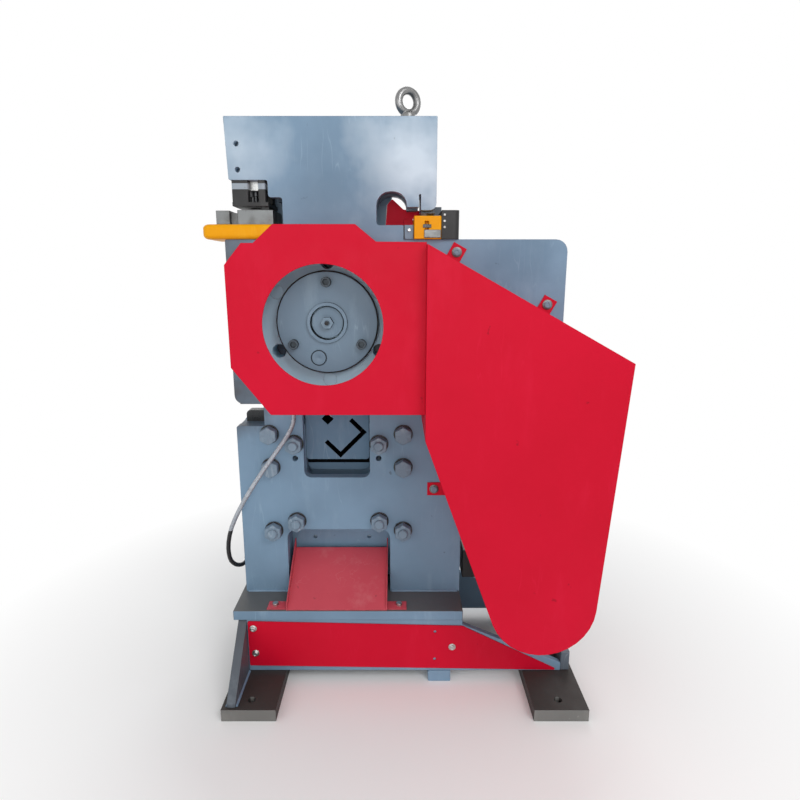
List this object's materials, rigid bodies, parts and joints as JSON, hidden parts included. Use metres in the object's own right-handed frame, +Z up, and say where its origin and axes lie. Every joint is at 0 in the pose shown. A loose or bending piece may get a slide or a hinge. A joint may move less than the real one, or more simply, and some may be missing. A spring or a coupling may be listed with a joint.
{
  "type": "ironworker machine",
  "caption": "Mechanical ironworker: a driven slide between two frame plates punches, notches, and shears flat bar and angle, with gear and belt covers on a footed base.",
  "frame": {"origin": "on the floor under the middle of the machine's bounding box", "axes": "+Z up, -Y towards the gear and belt covers, +X towards the motor"},
  "size_m": [1.092, 0.67, 1.6855],
  "materials": {
    "frame_paint": "satin",
    "red_cover": "satin",
    "yellow_paint": "satin",
    "steel": "machined",
    "dark_steel": "oiled",
    "rubber": "matt",
    "motor_paint": "satin",
    "bronze": "machined",
    "foot_paint": "worn"
  },
  "bodies": {
    "frame": {"front_plate": "frame_paint", "rear_plate": "frame_paint", "left_spacer": "frame_paint", "right_spacer": "frame_paint", "left_guide": "steel", "right_guide": "steel", "top_spacer": "frame_paint", "tie_bolts": "steel", "eyebolt": "steel", "base_plate": "frame_paint", "left_foot": "foot_paint", "right_foot": "foot_paint", "left_gusset": "frame_paint", "right_gusset": "frame_paint", "front_beam": "frame_paint", "rear_beam": "frame_paint", "middle_foot": "frame_paint", "front_panel": "red_cover", "panel_screws": "steel", "chute": "red_cover", "chute_screws": "steel", "gear_cover": "red_cover", "belt_guard": "red_cover", "guard_screws": "steel", "front_bush": "steel", "rear_bush": "steel", "counter_bushes": "steel", "fast_bushes": "steel", "punch_table": "yellow_paint", "die_block": "steel", "stripper": "dark_steel", "notch_die": "yellow_paint", "notch_tool_block": "dark_steel", "notch_guard": "red_cover", "lower_blade": "dark_steel", "fixed_section_blade": "steel", "motor_stand": "motor_paint", "motor_body": "motor_paint", "motor_fan_cover": "motor_paint", "terminal_box": "motor_paint", "v_belts": "rubber", "hose": "rubber", "hose_glands": "steel"},
    "slide": {"slide_plate": "frame_paint", "punch_holder": "steel", "punch": "dark_steel", "upper_blade": "dark_steel", "moving_section_blade": "frame_paint", "notch_punch": "dark_steel"},
    "eccentric": {"eccentric_shaft": "steel", "grease_fitting": "steel"},
    "block": {"drive_block": "bronze"},
    "main_gear": {"main_gear": "dark_steel", "hub_cover": "steel", "hub_screws": "dark_steel"},
    "counter": {"counter_shaft": "dark_steel"},
    "flywheel": {"flywheel_shaft": "steel", "flywheel": "dark_steel"},
    "rotor": {"motor_rotor": "steel"}
  },
  "joints": [
    {"name": "eccentric_turn", "type": "hinge", "parent": "frame", "child": "eccentric", "pos_m": [-0.198, 0, 1.075], "axis": [0, 1, 0], "range_deg": [0, 180]},
    {"name": "slide_stroke", "type": "slide", "parent": "frame", "child": "slide", "axis": [0, 0, -1], "range_m": [0, 0.028]},
    {"name": "block_turn", "type": "hinge", "parent": "eccentric", "child": "block", "pos_m": [-0.198, 0, 1.089], "axis": [0, 1, 0], "range_deg": [-180, 0]},
    {"name": "main_gear_turn", "type": "hinge", "parent": "frame", "child": "main_gear", "pos_m": [-0.198, 0, 1.075], "axis": [0, 1, 0], "continuous": true},
    {"name": "counter_turn", "type": "hinge", "parent": "frame", "child": "counter", "pos_m": [0.04559, 0, 1.01876], "axis": [0, 1, 0], "continuous": true},
    {"name": "flywheel_turn", "type": "hinge", "parent": "frame", "child": "flywheel", "pos_m": [0.22558, 0, 0.93156], "axis": [0, 1, 0], "continuous": true},
    {"name": "motor_turn", "type": "hinge", "parent": "frame", "child": "rotor", "pos_m": [0.362, 0, 0.343], "axis": [0, 1, 0], "continuous": true}
  ],
  "couplings": [
    {"joint": "slide_stroke", "follows": "eccentric_turn", "m_per_rad": 0.00891},
    {"joint": "block_turn", "follows": "eccentric_turn", "ratio": -1},
    {"joint": "counter_turn", "follows": "main_gear_turn", "ratio": -4},
    {"joint": "flywheel_turn", "follows": "main_gear_turn", "ratio": 12.667},
    {"joint": "motor_turn", "follows": "main_gear_turn", "ratio": 40.714}
  ]
}
